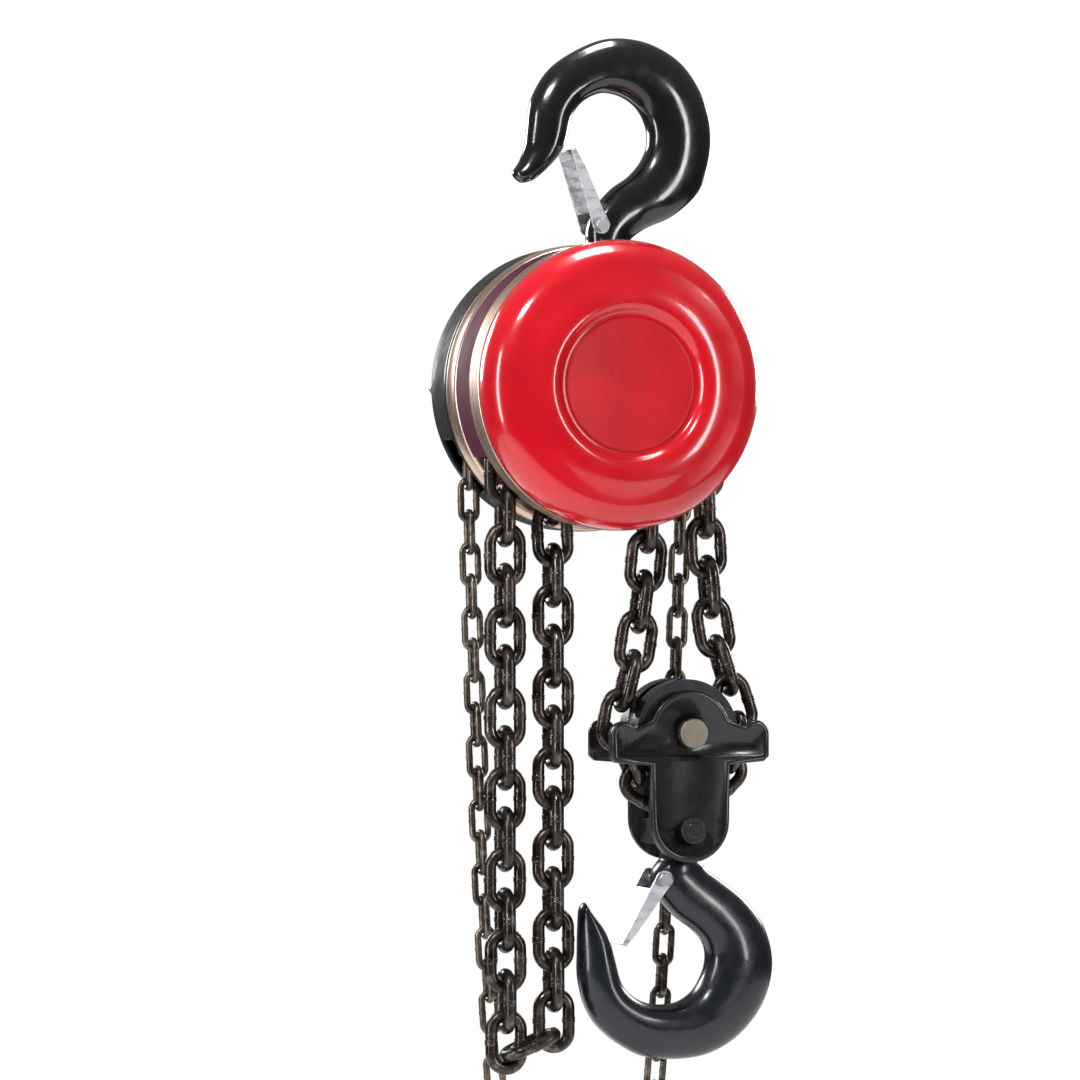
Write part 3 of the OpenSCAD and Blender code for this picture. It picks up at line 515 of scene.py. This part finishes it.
def block_half(name, node, s):
    """One cheek: the outline with a rounded edge, and a face sunk inside a raised lip."""
    low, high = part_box(node)
    inner, outer = (high.y, low.y) if s < 0 else (low.y, high.y)
    pts = outline_block()
    n = len(pts)
    rows = [(0.0, inner), (0.0, outer - s * 2.2 * MM), (0.35, outer - s * 0.8 * MM), (1.3, outer),
            (4.2, outer), (5.2, outer - s * 1.6 * MM)]
    verts = []
    for inset, y in rows:
        for i, p in enumerate(pts):
            a, b = Vector(pts[i - 1]), Vector(pts[(i + 1) % n])
            along = (b - a).normalized()
            inward = Vector((-along.y, along.x))
            q = Vector(p) + inward * inset * MM
            verts.append((q.x, y, q.y))
    faces = ring_quads(len(rows), n)
    faces.append(tuple(range(n)))
    faces.append(tuple(range((len(rows) - 1) * n, len(rows) * n))[::-1])
    piece(name, verts, faces, block_black, node)


block_half("block_cheek_front", "block_front_half", -1)
block_half("block_cheek_rear", "block_rear_half", 1)


# ---------------------------------------------------------------- small parts with broken edges
BROKEN_EDGES = {            # bevel width in millimetres
    "top_hook_latch": 0.3, "bottom_hook_latch": 0.3, "idler_axle": 0.7, "idler_axle_nut": 0.6,
    "trunnion_caps": 0.6, "hook_crosshead": 0.8, "suspension_yoke": 0.8, "frame_nuts": 0.4,
    "top_latch_pin": 0.3, "bottom_latch_pin": 0.3, "gear_cover_screws": 0.4, "stay_bolts": 0.4,
    "side_guard_left": 0.4, "side_guard_right": 0.4, "chain_stripper": 0.5, "shaft_nut": 0.5,
}
for node, width in BROKEN_EDGES.items():
    softened(node, width * MM)


# ---------------------------------------------------------------- chain welds
def islands(mesh):
    """Vertex groups of a mesh's separate solids."""
    parent = list(range(len(mesh.vertices)))

    def find(i):
        while parent[i] != i:
            parent[i] = parent[parent[i]]
            i = parent[i]
        return i

    for e in mesh.edges:
        a, b = find(e.vertices[0]), find(e.vertices[1])
        if a != b:
            parent[a] = b
    groups = {}
    for i in range(len(parent)):
        groups.setdefault(find(i), []).append(i)
    return list(groups.values())


def frame_of(points):
    """Centre and the long, middle and short directions of a cloud of points."""
    cloud = np.array(points)
    centre = cloud.mean(0)
    axes = np.linalg.eigh(np.cov((cloud - centre).T))[1]
    long, mid = Vector(axes[:, 2]), Vector(axes[:, 1])
    return Vector(centre), long, mid, long.cross(mid)


FEWEST = 60                 # a solid with fewer vertices than this isn't a link
COLLAR = [(-0.30, 0.46), (-0.22, 0.535), (-0.08, 0.555), (0.0, 0.52),
          (0.08, 0.555), (0.22, 0.535), (0.30, 0.46)]   # along the wire, radius; in wire diameters
COLLAR_STEPS = 20


def welds(node, wire, material):
    """A squeezed weld collar half-way along one side of each link."""
    mesh = nodes[node].data
    verts, faces = [], []
    for group in islands(mesh):
        points = [mesh.vertices[i].co for i in group]
        if len(points) < FEWEST:
            continue
        centre, long, mid, short = frame_of([tuple(p) for p in points])
        reach = max(abs((p - centre).dot(mid)) for p in points)
        side = 1 if mid.x + mid.y + mid.z > 0 else -1
        middle_of_wire = centre + mid * side * (reach - wire / 2)
        base, n = len(verts), COLLAR_STEPS
        for u, r in COLLAR:
            for k in range(n):
                t = 2 * math.pi * k / n
                outward = side * math.cos(t)
                size = wire * (r if outward < 0.75 else min(r, 0.5))
                verts.append(middle_of_wire + long * u * wire
                             + mid * size * math.cos(t) + short * size * math.sin(t))
        faces += ring_quads(len(COLLAR), n, base)
        faces.append(tuple(base + k for k in range(n)))
        faces.append(tuple(base + (len(COLLAR) - 1) * n + k for k in range(n)))
    if verts:
        piece(node + "_welds", verts, faces, material, node, replace=False)


WIRE = {"load_chain": (9 * MM, load_link), "hand_chain": (5 * MM, hand_link)}
for name in nodes:
    if slot_of[name] in WIRE:
        welds(name, *WIRE[slot_of[name]])


# ---------------------------------------------------------------- the photo's light and camera
def area(name, place, target, size, power, size_y=None):
    """A white rectangular light at place, turned to target."""
    data = bpy.data.lights.new(name, "AREA")
    data.shape = "RECTANGLE"
    data.size, data.size_y = size, size_y or size
    data.energy = power
    obj = bpy.data.objects.new(name, data)
    obj.location = place
    obj.rotation_euler = (target - place).to_track_quat("-Z", "Y").to_euler()
    bpy.context.scene.collection.objects.link(obj)


target = Vector((-0.0479, 0.0133, -0.3325))
AZIMUTH = math.radians(18)  # the photo's camera stands this far round from the front
toward = Vector((-math.sin(AZIMUTH), -math.cos(AZIMUTH), 0))
right = Vector((math.cos(AZIMUTH), -math.sin(AZIMUTH), 0))
CAMERA_DISTANCE = 4.0
camera = bpy.data.objects.new("camera", bpy.data.cameras.new("camera"))
bpy.context.scene.collection.objects.link(camera)
camera.location = target + toward * CAMERA_DISTANCE
camera.rotation_euler = (-toward).to_track_quat("-Z", "Y").to_euler()
camera.data.lens, camera.data.sensor_width = 179.3, 36
bpy.context.scene.camera = camera

FLOOR_R, FLOOR_STEPS, FLOOR_GAP = 1.6, 96, 30 * MM
paper = shader("studio_paper", (0.85, 0.85, 0.85), roughness=0.9, spec=0.1)[0]
floor_mesh = bpy.data.meshes.new("studio_floor")
turns = [2 * math.pi * i / FLOOR_STEPS for i in range(FLOOR_STEPS)]
floor_z = cad_bounds[0].z - FLOOR_GAP
floor_mesh.from_pydata([(FLOOR_R * math.cos(a), FLOOR_R * math.sin(a), floor_z) for a in turns], [],
                       [range(FLOOR_STEPS)])
floor_mesh.materials.append(paper)
floor = bpy.data.objects.new("studio_floor", floor_mesh)
bpy.context.scene.collection.objects.link(floor)

# A white surround behind the object, and a dimmer one that lights it
world = bpy.data.worlds.new("studio")
world.use_nodes = True
tree = world.node_tree
surround = tree.nodes["Background"]
surround.inputs["Strength"].default_value = 0.28
direction = add(tree, "ShaderNodeTexCoord")
parts = add(tree, "ShaderNodeSeparateXYZ")
tree.links.new(direction.outputs["Generated"], parts.inputs["Vector"])
height = spread(tree, parts.outputs["Z"], -1.0, 1.0, 0.0, 1.0)
tree.links.new(ramp(tree, height, 0.35, 0.95, (0.25, 0.25, 0.26), (1, 1, 1)),
               surround.inputs["Color"])
backdrop = add(tree, "ShaderNodeBackground", Color=(1, 1, 1, 1), Strength=1.0)
ray = add(tree, "ShaderNodeLightPath")
choose = add(tree, "ShaderNodeMixShader")
tree.links.new(ray.outputs["Is Camera Ray"], choose.inputs[0])
tree.links.new(surround.outputs["Background"], choose.inputs[1])
tree.links.new(backdrop.outputs["Background"], choose.inputs[2])
tree.links.new(choose.outputs["Shader"], tree.nodes["World Output"].inputs["Surface"])
bpy.context.scene.world = world
bpy.context.scene.view_settings.view_transform = "Standard"
drum_spot = Vector((AXIS_X, 0, AXIS_Z))
up = Vector((0, 0, 1))
area("key", drum_spot + toward * 1.7 - right * 0.9 + up * 1.5, drum_spot, 0.55, 26, size_y=0.35)
area("left_strip", target + toward * 1.1 - right * 1.5 + up * 0.1, target, 0.25, 15, size_y=1.3)
area("right_strip", target + toward * 1.2 + right * 1.6 + up * 0.2, target, 0.25, 12, size_y=1.2)
area("top", target + Vector((0.1, 0, 1.7)), target, 0.8, 22, size_y=0.5)
area("rear_left", target - toward * 1.3 - right * 1.2 + up * 0.5, target, 0.6, 16)
area("rear_right", target - toward * 1.4 + right * 1.1 + up * 0.4, target, 0.7, 14)
